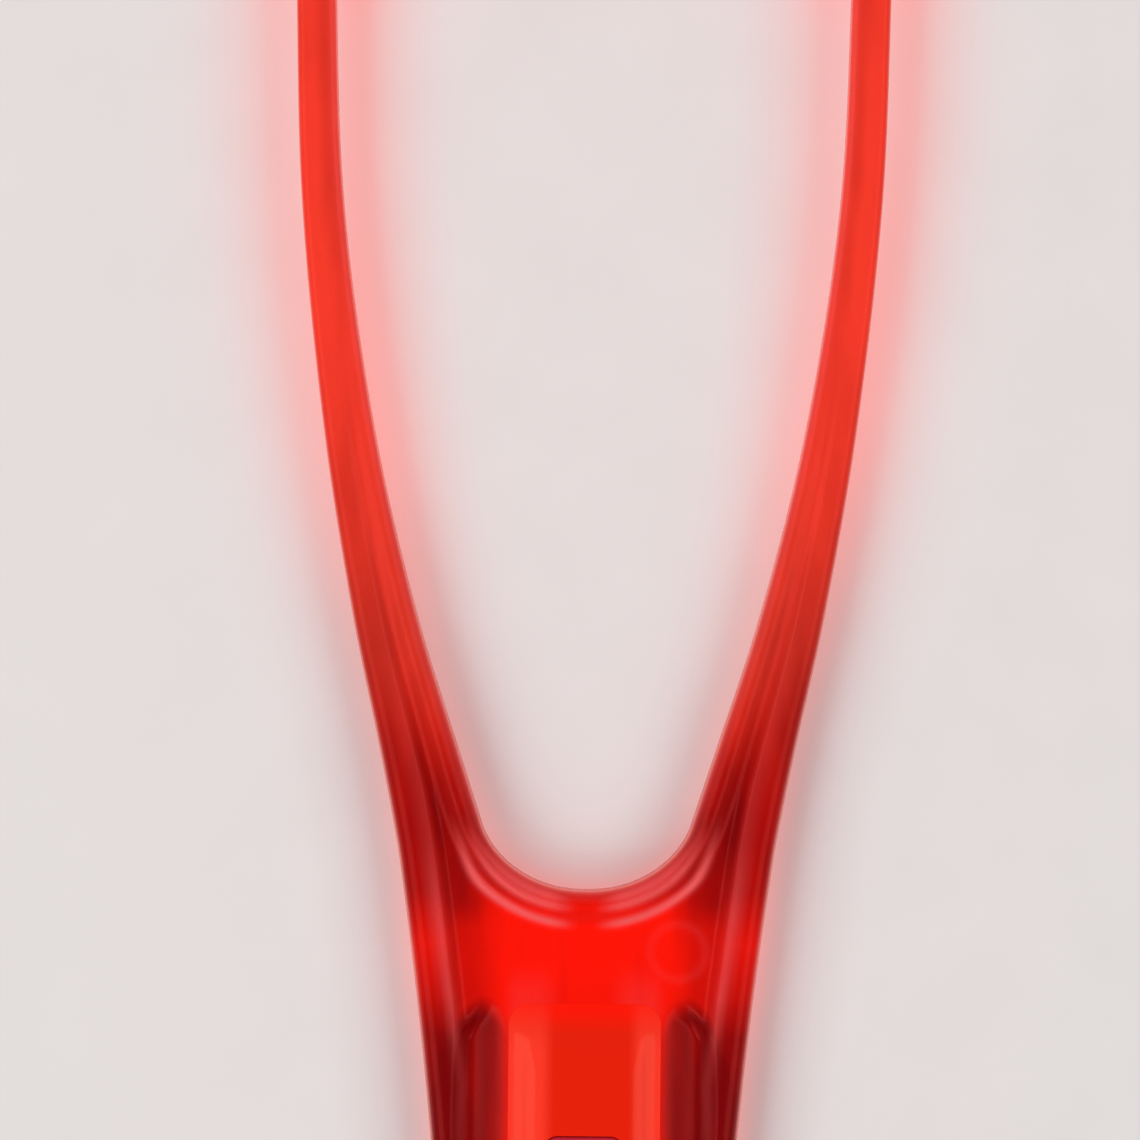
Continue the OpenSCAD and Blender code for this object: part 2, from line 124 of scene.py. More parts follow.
class ForkSizes(PropertyGroup):
    """The sizes of the fork and of the head that closes it."""

    head_l: length("Head height", "From the crotch of the opening to the top of the head", 86)
    throat_w: length("Throat", "Width across the junction, level with the crotch", 27.6)
    waist_w: length("Waist", "Width across the waist of the handle", 19.8)
    tail_w: length("Tail", "Width across the end of the handle", 21)
    neck_l: length("Neck", "Length over which the junction narrows to the waist of the handle", 55)
    tail_round_l: length("Tail rounding", "Length of the rounded end of the handle", 9)
    handle_t: length("Handle thickness", "Thickness of the handle and the junction", 5)
    arm_root_w: length("Arm root", "Width of an arm at its root", 7.4)
    arm_tip_w: length("Arm tip", "Width of an arm at its tip", 3)
    arm_tip_t: length("Tip thickness", "Thickness of an arm at its tip", 3.4)
    crotch_h: length("Crotch", "Height of the rounded bottom of the opening", 5)
    head_lift: length("Head lift", "Height of the arm tips above the plane that the handle lies on", 2.6)
    edge_r: length("Edge radius", "Radius along the outer edges", 1.3)
    rail_w: length("Rail", "Width of the rail along each side of the handle", 1.7)
    junction_rail_w: length("Junction rail", "Width of the rail beside the junction", 2.7)
    rail_slope_w: length("Rail slope", "Width of the slope on the inner side of a rail", 0.8)
    bead_w: length("Bead", "Width of the bead round the opening", 2.8)
    web_drop: length("Web depth", "Depth of the front web below the rails and the bead", 0.8)
    back_drop: length("Back web depth", "Depth of the back web below the rails and the bead", 0.7)
    flute_d: length("Flute depth", "Depth of the two flutes below the front web", 1.1)
    flute_top: length("Flute top", "Distance from the crotch down to the top of the flutes", 8.2)
    flute_end_l: length("Flute end", "Length of a flute's steep upper end", 2)
    flute_foot: length("Flute foot", "Distance from the crotch down to where the flutes run out", 34)
    flute_fade_l: length("Flute fade", "Length over which the flutes run out", 12)
    flute_slope_w: length("Flute slope", "Width of a flute's slope on the side of the inlay", 2)
    ledge_w: length("Ledge", "Width of the ledge between the inlay and a flute", 0.35)
    ejector_x: length("Ejector ring place", "From the middle to the centre of the ejector's ring", 7)
    ejector_drop: length("Ejector ring drop", "From the crotch down to the centre of the ejector's ring", 4.6)
    ejector_d: length("Ejector ring", "Diameter of the ring that the mould's ejector leaves on the web", 4.2)
    ejector_w: length("Ejector ring width", "Width of the ejector's ring", 0.7)
    ejector_h: length("Ejector ring height", "Height of the ejector's ring", 0.05)
    bar_d: length("Bar depth", "From the bar's top edge to the opening", 6)
    arch_r: length("Arch radius", "Radius of the bar's arched top", 35)
    corner_r: length("Corner radius", "Outer radius of the bar's corners", 8)
    inner_corner_r: length("Inner corner radius", "Inner radius of the bar's corners", 5)
    spigot_d: length("Spigot diameter", "Diameter of the spigot on each arm tip", 1.8)
    spigot_l: length("Spigot length", "Length of the spigots", 4)
    fit_gap: length("Fit gap", "Gap round each seated piece", 0.04)
    seam: length("Seam", "Gap that shows round the inlay, which is moulded into its pocket", 0.01)
    bore_end_gap: length("Bore end gap", "Gap between the end of a bore and its spigot", 0.3)


class BladeSizes(PropertyGroup):
    """The sizes of the two scraping blades."""

    thickness: length("Thickness", "Thickness of a blade where it leaves the bar", 1)
    root_t: length("Root thickness", "Thickness of a blade's root, which locks it in the bar", 1.3)
    edge_t: length("Edge thickness", "Thickness of a blade at its scraping edge", 0.4)
    root_d: length("Root depth", "Depth of a blade's root in the bar", 1.4)
    inset: length("Inset", "From an edge of the bar to the middle of its blade", 1.4)
    notch_w: length("Notch", "Width of a notch between two teeth of the ridged blade", 1)
    tooth_pitch: length("Tooth pitch", "Spacing of the teeth", 1.7)


class GripSizes(PropertyGroup):
    """The sizes of the handle's inlay and its two pads."""

    crown_w: length("Crown", "Width of the inlay's flat crown", 6.6)
    crown_h: length("Crown height", "Height of the crown above the web", 0.7)
    crown_end_l: length("Crown end", "Length of the slope at each end of the crown", 5)
    inlay_corner_r: length("Inlay corner", "Radius of the inlay's corners", 1.6)
    thumb_corner_r: length("Thumb pad corner", "Radius of the thumb pad's corners", 1)
    thumb_margin: length("Thumb pad margin", "Margin of the thumb pad round its ribs", 0.7)
    rib_w: length("Rib", "Width of a rib of the thumb pad", 1.1)
    rib_h: length("Rib height", "Height of a rib above the thumb pad", 0.35)
    rib_pitch: length("Rib pitch", "Spacing of the ribs", 2.4)
    back_corner_r: length("Back grip corner", "Radius of the back grip's corners", 4)
    back_margin: length("Back grip margin", "Margin of the back grip round its grooves", 1.5)
    groove_w: length("Groove", "Width of a groove across the back grip", 1)
    groove_pitch: length("Groove pitch", "Spacing of the grooves", 3.2)
    pad_edge_r: length("Pad edge", "Radius along the edge of a pad", 0.3)


class FinishColours(PropertyGroup):
    """The colours of the plastics, the pads and the floor, and the painted shade and glow of the clear
    plastic.
    """

    # The arms' own tint, partly painted glow: lighter where slender, as light shines through them
    arm: tint("Arms", "Clear plastic where an arm is slender and full of light", "#F2402E")
    web: tint("Web", "Clear plastic where it is thin and flat", "#FF1808")
    # Painted shade: the dark of rails, flutes and valleys, where the plastic bends the light away
    depth: tint("Depth", "Clear plastic where rails and flutes bend the light away", "#7A060A")
    # Painted glow along creases that gather light
    crease: tint("Crease", "Clear plastic along a crease that gathers light", "#F26464")
    # Painted glow on rounded edges that let light out
    edge: tint("Edge", "Clear plastic at a rounded edge that lets light out", "#FF8C80")
    inlay: tint("Inlay", "The flat of the inlay", "#E9210B")
    # Painted highlight on the inlay's bevels
    bevel: tint("Bevel", "The bevelled sides of the inlay", "#FF3A28")
    blade: tint("Blades", "The thin plastic of the blades", "#F59488")
    pad: tint("Pads", "The soft pads", "#C51F34")
    floor: tint("Floor", "The board that it lies on", "#E6E0DF")


def smooth(t):
    """An even S-shaped step from 0 to 1."""
    t = np.clip(t, 0, 1)
    return t * t * (3 - 2 * t)


def ramp(value, low, high):
    """How far a value has come from low to high, eased at both ends."""
    return smooth((value - low) / (high - low))


def mix(a, b, t):
    """The value a share t of the way from a to b."""
    return a + (b - a) * t


def between(value, rise, fall):
    """How far a value is past one span and not yet past the other."""
    return ramp(value, *rise) * (1 - ramp(value, *fall))


def soft_line(off, half_w):
    """How much a point lies on a soft line, by its distance from it."""
    return np.exp(-(off / half_w) ** 2)


def edge_places(r, steps):
    """Distances from the side over an edge of radius r, closer together where it is steep."""
    return r * (1 - np.cos(np.radians(np.linspace(0, 90, steps))))


def edge_drop(r, off):
    """How far an edge of radius r lies below its top at a distance from the side."""
    return r - np.sqrt(np.clip(r ** 2 - np.clip(r - off, 0, None) ** 2, 0, None))


def slope_step(t, fillet):
    """A straight slope from 0 to 1 with a rounded foot and top, each reaching fillet to both sides."""
    foot = np.clip(t + fillet, 0, 2 * fillet) ** 2 / (4 * fillet)
    top = np.clip(1 + fillet - t, 0, 2 * fillet) ** 2 / (4 * fillet)
    return np.where(t < fillet, foot, np.where(t > 1 - fillet, 1 - top, t))


def joined(*stretches, same=1e-9):
    """One run of values through several, with each place that two share kept once."""
    values = np.concatenate(stretches)
    return values[np.append(True, np.abs(np.diff(values)) > same)]


class Fork:
    """The moulded fork: its outline, its side view and its section at each distance y above the crotch."""

    # Share of an arm's height, then share of its spread from the throat's width to the head's
    spread_shares = ((0, 0), (0.05, 0.06), (0.15, 0.215), (0.3, 0.467), (0.5, 0.728), (0.75, 0.935), (1, 1))
    # The heights at which the arms start and stop rising, as shares of theirs
    rise_shares = (0.1, 0.9)
    # The height at which the arms stop thinning, as a share of theirs
    thin_share = 0.8
    # Where the handle starts to swell towards its end, as a share of its length
    swell_share = 0.55
    # Where the rail starts to widen towards the junction, as a share of the neck's length
    widen_share = 0.37
    # Powers by which an arm thins towards its tip and the junction narrows to the waist, where 1 is straight
    arm_power = 2.4
    neck_power = 2
    # Power of the rounded ends, where 2 gives an ellipse and more a squarer end
    round_power = 2.2
    # How far the rounding of a crease reaches, as a share of its slope's width
    fillet_share = 0.3
    # How many steps the mesh takes over a rounded edge, across the web and up an arm
    edge_steps, web_steps, arm_steps = 9, 42, 80
    # The angles in degrees from one row to the next round the tail and round the opening's bottom
    tail_turn, bottom_turn = 5, 2.5
    # How many points the edge lines have up a side and round the bottom, and the angle between the tail's
    side_points, bottom_points, point_turn = 500, 60, 1.5

    def __init__(self, sizes):
        self.s = sizes
        self.crotch_y = CAD_BOX[1].y - sizes.head_l
        self.head_w = FRAME_BOX[1].x - FRAME_BOX[0].x
        self.joint_l = BAR_BOX[0].y - self.crotch_y
        self.handle_l = self.crotch_y - FRAME_BOX[0].y
        self.tail_y = sizes.tail_round_l - self.handle_l
        self.feature_w = sizes.junction_rail_w + sizes.rail_slope_w + sizes.bead_w

    def spread(self, t):
        """The smooth curve through spread_shares."""
        table = np.array(self.spread_shares)
        i = min(max(int(np.searchsorted(table[:, 0], t)) - 1, 0), len(table) - 2)
        before, after = table[[max(i - 1, 0), i]], table[[i + 1, min(i + 2, len(table) - 1)]]
        width = table[i + 1, 0] - table[i, 0]
        q = (t - table[i, 0]) / width
        rise_in = (table[i + 1, 1] - before[0, 1]) / (table[i + 1, 0] - before[0, 0])
        rise_out = (after[1, 1] - table[i, 1]) / (after[1, 0] - table[i, 0])
        return (mix(table[i, 1], table[i + 1, 1], smooth(q))
                + width * q * (1 - q) * (rise_in * (1 - q) - rise_out * q))

    def outer(self, y):
        """Half the width across the outside."""
        s = self.s
        if y > 0:
            return mix(s.throat_w, self.head_w, self.spread(y / self.joint_l)) / 2
        swell = ramp(-y, self.swell_share * self.handle_l, self.handle_l - s.tail_round_l)
        neck = max(0, 1 + y / s.neck_l) ** self.neck_power
        return (mix(s.waist_w, s.throat_w, neck) + (s.tail_w - s.waist_w) * swell) / 2

    def arm_w(self, y):
        """The width of an arm."""
        height = np.clip(y / self.joint_l, 0, 1)
        return mix(self.s.arm_tip_w, self.s.arm_root_w, (1 - height) ** self.arm_power)

    def opening(self, y):
        """Half the width of the opening."""
        return self.outer(max(y, 0)) - self.arm_w(y)

    def lift(self, y):
        """How far the underside has left the plane that the handle lies on."""
        return self.s.head_lift * ramp(y, *(share * self.joint_l for share in self.rise_shares))

    def thickness(self, y):
        """The thickness at the rails."""
        return mix(self.s.handle_t, self.s.arm_tip_t, ramp(y, 0, self.thin_share * self.joint_l))

    def shrink(self, y):
        """How far rail and bead have shrunk to fit an arm."""
        return np.minimum(1, self.arm_w(y) / self.feature_w)

    def hollow(self, y):
        """How much of the web's depth is left."""
        return smooth((self.arm_w(y) - self.s.arm_tip_w) / (self.feature_w - self.s.arm_tip_w))

    def rail(self, y):
        """The width of a rail's flat top."""
        s = self.s
        return mix(s.rail_w, s.junction_rail_w, ramp(y, -self.widen_share * s.neck_l, -s.flute_top))

    def flute(self, x, y, middle):
        """How deep the flutes are, as a share: each runs out below and ends in a round tip above."""
        s = self.s
        top = -s.flute_top - s.flute_end_l * ((x - middle) / s.flute_slope_w) ** 2
        return (ramp(y, -s.flute_foot, -s.flute_foot + s.flute_fade_l)
                * (1 - ramp(y, top - s.flute_end_l, top)))

    def bend(self, a):
        """How far a rounded end has turned at the angle a."""
        return math.sin(math.radians(a)) ** (2 / self.round_power)

    def row(self, y, a, foot_y=None, foot_a=90):
        """The points of half a row from the outer edge in, and the heights of front and back there."""
        s = self.s
        k = self.shrink(y)
        rail = self.rail(y)
        rim = edge_places(s.edge_r, self.edge_steps)
        reach = self.fillet_share * s.rail_slope_w
        foot = rail + s.rail_slope_w
        # The rail's top, its crease, its slope and the crease at its foot, each with its number of steps
        stretches = (
            (s.edge_r, rail - reach, 3), (rail - reach, rail + reach, 5), (rail + reach, foot - reach, 3),
            (foot - reach, foot, 3))
        d = joined(rim, *(np.linspace(*stretch) for stretch in stretches))
        outer = np.stack([
            (self.outer(y) - d * k) * self.bend(a), y - (s.tail_round_l - d) * self.bend(90 - a)], 1)
        inner_d = joined(np.linspace(s.bead_w, s.edge_r, 8), rim[::-1])
        if foot_y is None:
            inner = np.stack([0 * inner_d, y + 0 * inner_d], 1)
        else:
            inner_k = self.shrink(foot_y)
            foot_line = foot_y - (s.crotch_h + inner_d * inner_k) * self.bend(90 - foot_a)
            half = np.array([self.opening(v) for v in foot_line])
            inner = np.stack([(half + inner_d * inner_k) * self.bend(foot_a), foot_line], 1)
        way = np.linspace(0, 1, self.web_steps)[1:-1, None]
        web = mix(outer[-1], inner[0], way)
        points = np.concatenate([outer, web, inner])
        past_foot = np.linalg.norm(web - outer[-1], axis=1) / k
        out_d = np.concatenate([d, foot + past_foot, np.full(len(inner_d), 2 * foot)])
        in_d = np.concatenate([np.full(len(d) + len(web), 2 * s.bead_w), inner_d])
        edge = np.concatenate([k * edge_drop(s.edge_r, d), 0 * web[:, 0], k * edge_drop(s.edge_r, inner_d)])
        web_share = slope_step((out_d - rail) / s.rail_slope_w, self.fillet_share)
        web_share = web_share * ramp(in_d, s.edge_r, s.bead_w)
        room = self.outer(y) - foot
        ledge = INLAY_BOX[1].x + s.fit_gap + s.ledge_w
        slope_w = min(s.flute_slope_w, room - ledge)
        flute_share = (self.flute(points[:, 0], points[:, 1], ledge + slope_w / 2)
                       * slope_step((points[:, 0] - ledge) / slope_w, self.fillet_share))
        hollow = np.array([self.hollow(v) for v in points[:, 1]])
        lift = self.lift(points[:, 1])
        dip = hollow * web_share * (s.web_drop + s.flute_d * flute_share)
        front = lift + self.thickness(points[:, 1]) - edge - dip
        back = lift + edge + hollow * web_share * s.back_drop
        return points, front, back

    def rows(self):
        """Half the fork as rings of points: the front inwards, then the back outwards."""
        s = self.s
        spec = [(self.tail_y, a) for a in np.arange(0, 90, self.tail_turn)]
        tip_y = -s.flute_top - 2 * s.flute_end_l
        # Below the flutes, along them, over their tips and across the junction, each with its number of rows
        runs = (
            (self.tail_y, -s.flute_foot, 34), (-s.flute_foot, tip_y, 34), (tip_y, -s.flute_top, 24),
            (-s.flute_top, -s.bead_w, 30))
        for low, high, count in runs:
            spec += [(y, 90) for y in np.linspace(low, high, count, endpoint=False)]
        for a in np.arange(0, 90, self.bottom_turn):
            spec.append((mix(-s.bead_w, s.crotch_h, a / 90), 90, s.crotch_h, a))
        spec += [(y, 90, y) for y in np.linspace(s.crotch_h, self.joint_l, self.arm_steps)]
        rings = []
        for args in spec:
            points, front, back = self.row(*args)
            x, y = points[:, 0], points[:, 1]
            rings.append(np.concatenate([np.stack([x, y, front], 1), np.stack([x, y, back], 1)[::-1]]))
        return np.array(rings)

    def edge_lines(self):
        """Points along the outer edge and along the opening's edge, on the right half."""
        s = self.s
        ys = np.linspace(self.tail_y, self.joint_l, self.side_points)
        rim = [(self.outer(self.tail_y) * self.bend(a), self.tail_y - s.tail_round_l * self.bend(90 - a))
               for a in np.arange(0, 90, self.point_turn)]
        rim += [(self.outer(y), y) for y in ys]
        mouth = []
        bottom = [(s.crotch_h, a) for a in np.linspace(0, 90, self.bottom_points)]
        for y, a in bottom + [(y, 90) for y in ys[ys > s.crotch_h]]:
            foot = y - s.crotch_h * self.bend(90 - a)
            mouth.append((self.opening(foot) * self.bend(a), foot))
        return np.array(rim), np.array(mouth)

    def spigot_tools(self, gap=0, extra=0):
        """The round bar of each arm's spigot, grown by a gap and longer by extra."""
        s = self.s
        for side in (-1, 1):
            yield rod(
                side * (self.head_w - s.arm_tip_w) / 2, BAR_BOX[0].y - OVERRUN, s.head_lift + s.arm_tip_t / 2,
                s.spigot_d / 2 + gap, OVERRUN + s.spigot_l + extra)


def ring_faces(rings, n):
    """The quads between closed rings of n points each."""
    i, j = np.meshgrid(np.arange(rings - 1), np.arange(n), indexing="ij")
    after = (j + 1) % n
    return np.stack([i * n + j, i * n + after, (i + 1) * n + after, (i + 1) * n + j], -1).reshape(-1, 4)


def mesh_object(name, points, faces, shift=(0, 0, 0)):
    """A new object of points, shifted, and faces, with repeated points merged and normals outwards."""
    mesh = bpy.data.meshes.new(name)
    moved = np.asarray(points) + np.asarray(shift)
    mesh.from_pydata(moved.tolist(), [], [list(map(int, face)) for face in faces])
    work = bmesh.new()
    work.from_mesh(mesh)
    bmesh.ops.remove_doubles(work, verts=work.verts, dist=SAME_PLACE)
    bmesh.ops.dissolve_degenerate(work, edges=work.edges, dist=SAME_PLACE)
    bmesh.ops.recalc_face_normals(work, faces=work.faces)
    work.to_mesh(mesh)
    work.free()
    made = bpy.data.objects.new(name, mesh)
    bpy.context.scene.collection.objects.link(made)
    return made


def capped(name, rings, shift=(0, 0, 0)):
    """A closed solid through rings of points, with a cap on the first and the last."""
    n = len(rings[0])
    last = (len(rings) - 1) * n
    faces = [*ring_faces(len(rings), n), range(n), range(last, last + n)]
    return mesh_object(name, np.concatenate(rings), faces, shift)


def cut(piece, tool, operation="DIFFERENCE"):
    """Cuts one closed mesh from another, or joins it on, and removes the tool."""
    change = piece.modifiers.new("cut", "BOOLEAN")
    change.operation = operation
    change.solver = "EXACT"
    change.object = tool
    graph = bpy.context.evaluated_depsgraph_get()
    result = bpy.data.meshes.new_from_object(piece.evaluated_get(graph))
    piece.modifiers.clear()
    piece.data = result
    bpy.data.objects.remove(tool)


def finish_piece(piece, node, material, crease_angle=32):
    """Shades a piece, gives it its material, and sets it on the body in place of its CAD node."""
    piece.data.polygons.foreach_set("use_smooth", np.ones(len(piece.data.polygons), bool))
    piece.data.set_sharp_from_angle(angle=math.radians(crease_angle))
    piece.data.materials.clear()
    piece.data.materials.append(material)
    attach(piece, BODY)
    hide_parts(node)


def rounded_outline(half_w, half_l, r, steps=10):
    """The points of a rectangle with rounded corners, anticlockwise."""
    points = []
    for quarter, (x, y) in enumerate(((1, 1), (-1, 1), (-1, -1), (1, -1))):
        for a in np.radians(np.linspace(0, 90, steps) + 90 * quarter):
            points.append((x * (half_w - r) + r * math.cos(a), y * (half_l - r) + r * math.sin(a)))
    return np.array(points)


def stacked(name, levels, centre_y):
    """A closed solid of stacked outlines, each given with its height."""
    rings = [np.column_stack([outline, np.full(len(outline), z)]) for outline, z in levels]
    return capped(name, rings, (0, centre_y, 0))


def sliced(piece, axis, places):
    """Adds edges where planes square to an axis cross a piece, so that its wide faces can carry a shade."""
    work = bmesh.new()
    work.from_mesh(piece.data)
    square = np.eye(3)[axis]
    for place in places:
        parts = [*work.verts, *work.edges, *work.faces]
        bmesh.ops.bisect_plane(work, geom=parts, dist=SAME_PLACE, plane_co=place * square, plane_no=square)
    work.to_mesh(piece.data)
    work.free()


def plate_tool(box, corner_r, gap, low_z, high_z):
    """A solid with the outline of a boxed piece, grown by a gap, to cut its pocket."""
    half_w, half_l = (box[1].x - box[0].x) / 2, (box[1].y - box[0].y) / 2
    outline = rounded_outline(half_w + gap, half_l + gap, corner_r + gap)
    return stacked("pocket", [(outline, low_z), (outline, high_z)], (box[0].y + box[1].y) / 2)


def rod(x, y, z, r, run, sides=32):
    """A round bar along Y from y."""
    a = np.radians(np.arange(sides) * 360 / sides)
    ring = np.stack([x + r * np.cos(a), 0 * a, z + r * np.sin(a)], 1)
    return capped("rod", [ring + (0, y, 0), ring + (0, y + run, 0)])


def add(tree, kind, inputs=(), **settings):
    """Adds a node with its settings, and sets or links its inputs."""
    made = tree.nodes.new(kind)
    for name, value in settings.items():
        setattr(made, name, value)
    for name, value in dict(inputs).items():
        if isinstance(value, bpy.types.NodeSocket):
            tree.links.new(value, made.inputs[name])
        else:
            made.inputs[name].default_value = value
    return made


def new_tree(name):
    """A new material's empty tree and the material."""
    material = bpy.data.materials.new(name)
    material.use_nodes = True
    material.node_tree.nodes.clear()
    return material, material.node_tree


def rgba(colour, light=1):
    """A colour, dimmed to a share of its light, with the alpha that a socket wants."""
    return (*(light * v for v in colour), 1)


def flow_streaks(tree, size):
    """The streaks, of a size in X, Y and Z, that plastic leaves along the way that it ran into the mould."""
    place = add(tree, "ShaderNodeTexCoord").outputs["Object"]
    flow = add(tree, "ShaderNodeMapping", {"Vector": place, "Scale": tuple(1 / v for v in size)})
    streaks = add(tree, "ShaderNodeTexNoise", {"Vector": flow.outputs[0], "Scale": 1, "Detail": 2})
    return streaks.outputs["Fac"]


def clouded(tree, low, high, size, detail):
    """Clouds of a size, and the colour that they vary from low to high."""
    place = add(tree, "ShaderNodeTexCoord").outputs["Object"]
    noise = add(tree, "ShaderNodeTexNoise", {"Vector": place, "Scale": 1 / size, "Detail": detail})
    cloud = noise.outputs["Fac"]
    colour = add(tree, "ShaderNodeMix", {MIX_FACTOR: cloud, MIX_LOW: low, MIX_HIGH: high}, data_type="RGBA")
    return cloud, colour.outputs[MIXED]


def shadowed(tree, shader, shadow_colour):
    """Lets the lamps' light through a clear plastic, tinted as it passes each face."""
    path = add(tree, "ShaderNodeLightPath")
    clear = add(tree, "ShaderNodeBsdfTransparent", {"Color": shadow_colour})
    mixed = add(tree, "ShaderNodeMixShader", {
        0: path.outputs["Is Shadow Ray"], 1: shader, 2: clear.outputs[0]})
    add(tree, "ShaderNodeOutputMaterial", {"Surface": mixed.outputs[0]})


def moulded_polystyrene(colours, streak_size):
    """Clear red polystyrene from a polished mould: wet, with painted glow for the light inside and painted
    shade where steep.
    """
    material, tree = new_tree("moulded_clear_polystyrene")
    # Marks on the mesh: painted shade where the plastic looks deep, painted glow where a crease gathers
    # light, how slender an arm is, painted glow where a rounded edge lets light out, and how thick the wall
    # is that the lamps' light passes
    deep, glow, slender, edge, thick = (
        add(tree, "ShaderNodeAttribute", attribute_name=name).outputs["Fac"]
        for name in ("deep", "glow", "slender", "edge", "thick"))
    streaks = flow_streaks(tree, streak_size)
    streaked = add(tree, "ShaderNodeMath", {0: streaks, 1: 0.5}, operation="SUBTRACT")
    varied = add(tree, "ShaderNodeMath", {0: streaked.outputs[0], 1: 0.5, 2: deep}, operation="MULTIPLY_ADD",
                 use_clamp=True)
    # The web's red, then the arms' tint with its painted glow, the painted shade, the painted crease glow and
    # the painted edge glow, each laid over in turn
    colour = rgba(colours.web)
    for share, over in (
            (slender, colours.arm), (varied.outputs[0], colours.depth), (glow, colours.crease),
            (edge, colours.edge)):
        layer = {MIX_FACTOR: share, MIX_LOW: colour, MIX_HIGH: rgba(over)}
        colour = add(tree, "ShaderNodeMix", layer, data_type="RGBA").outputs[MIXED]
    plastic = add(tree, "ShaderNodeBsdfPrincipled", {
        "Base Color": colour, "Roughness": 0.24, "IOR": 1.59, "Transmission Weight": 0.15,
        "Specular IOR Level": 0.25, "Specular Tint": (1, 0.14, 0.12, 1)})
    walls = {MIX_FACTOR: thick, MIX_LOW: THIN_SHADOW, MIX_HIGH: WALL_SHADOW}
    shadowed(tree, plastic.outputs[0], add(tree, "ShaderNodeMix", walls, data_type="RGBA").outputs[MIXED])
    return material


def thin_polystyrene(colours):
    """Thin clear polystyrene: the blades are pale, because little colour lies in the light's way."""
    material, tree = new_tree("thin_clear_polystyrene")
    _, colour = clouded(tree, rgba(colours.blade), rgba(colours.blade, 0.8), BLADE_CLOUD, 2)
    plastic = add(tree, "ShaderNodeBsdfPrincipled", {
        "Base Color": colour, "Roughness": 0.15, "IOR": 1.59, "Transmission Weight": 0.35})
    shadowed(tree, plastic.outputs[0], BLADE_SHADOW)
    return material


def inlay_plastic(colours):
    """Polished translucent plastic over a pale core: the inlay glows evenly, and its bevels carry a painted
    highlight.
    """
    material, tree = new_tree("moulded_translucent_inlay")
    colour = rgba(colours.inlay)
    # The ends fade into the web's colour, and the bevels get a painted highlight
    for mark, over in (("end", colours.web), ("glow", colours.bevel)):
        share = add(tree, "ShaderNodeAttribute", attribute_name=mark).outputs["Fac"]
        layer = {MIX_FACTOR: share, MIX_LOW: colour, MIX_HIGH: rgba(over)}
        colour = add(tree, "ShaderNodeMix", layer, data_type="RGBA").outputs[MIXED]
    rough = add(tree, "ShaderNodeMapRange", {0: flow_streaks(tree, STREAKS_ALONG), 3: 0.1, 4: 0.2})
    plastic = add(tree, "ShaderNodeBsdfPrincipled", {
        "Base Color": colour, "Roughness": rough.outputs[0], "IOR": 1.59, "Specular IOR Level": 0.18,
        "Specular Tint": (1, 0.5, 0.35, 1)})
    add(tree, "ShaderNodeOutputMaterial", {"Surface": plastic.outputs[0]})
    return material


def soft_rubber(colours):
    """Thermoplastic rubber moulded on a spark-eroded surface: satin, with a fine even grain."""
    material, tree = new_tree("soft_touch_rubber")
    grain, colour = clouded(tree, rgba(colours.pad, 0.8), rgba(colours.pad), RUBBER_GRAIN, 3)
    bump = add(tree, "ShaderNodeBump", {"Height": grain, "Strength": 0.25, "Distance": 0.05 * MM})
    rubber = add(tree, "ShaderNodeBsdfPrincipled", {
        "Base Color": colour, "Roughness": 0.55, "IOR": 1.5, "Normal": bump.outputs[0],
        "Specular IOR Level": 0.3, "Specular Tint": (1, 0.5, 0.5, 1)})
    add(tree, "ShaderNodeOutputMaterial", {"Surface": rubber.outputs[0]})
    return material


def coated_board(colours):
    """Matt coated board: nearly even, with a faint cloud of fibres."""
    material, tree = new_tree("matt_coated_board")
    _, colour = clouded(tree, rgba(colours.floor, 0.94), rgba(colours.floor), BOARD_CLOUD, 4)
    board = add(tree, "ShaderNodeBsdfPrincipled", {"Base Color": colour, "Roughness": 0.8})
    add(tree, "ShaderNodeOutputMaterial", {"Surface": board.outputs[0]})
    return material


def set_marks(piece, **marks):
    """Stores numbers on the vertices for the material to read."""
    for name, values in marks.items():
        made = piece.data.attributes.new(name, "FLOAT", "POINT")
        made.data.foreach_set("value", np.asarray(values + np.zeros(len(piece.data.vertices)), np.float32))


def per_vertex(piece, what):
    """What the vertices have under a name, such as their places, as rows of x, y and z."""
    found = np.empty(3 * len(piece.data.vertices), np.float32)
    piece.data.vertices.foreach_get(what, found)
    return found.reshape(-1, 3).astype(float)


def lit_edge(piece):
    """How much painted glow each vertex gets for lying on a rounded upper edge, where a clear plastic lets
    its light out.
    """
    return soft_line(per_vertex(piece, "normal")[:, 2] - EDGE_TILT, EDGE_SPREAD)


def nearest(points, line):
    """The distance of each point from a line's own points, seen from above."""
    best = np.full(len(points), np.inf)
    for part in np.array_split(line, max(1, len(line) // 64)):
        gaps = np.hypot(points[:, None, 0] - part[:, 0], points[:, None, 1] - part[:, 1])
        best = np.minimum(best, gaps.min(1))
    return best


class ScraperStep:
    """What the operators that build a piece share."""

    bl_options = {"REGISTER", "UNDO"}

    @staticmethod
    def sizes(context):
        """The sizes of the fork, the blades and the grips, and the colours."""
        return [getattr(context.scene, name) for name in GROUPS]


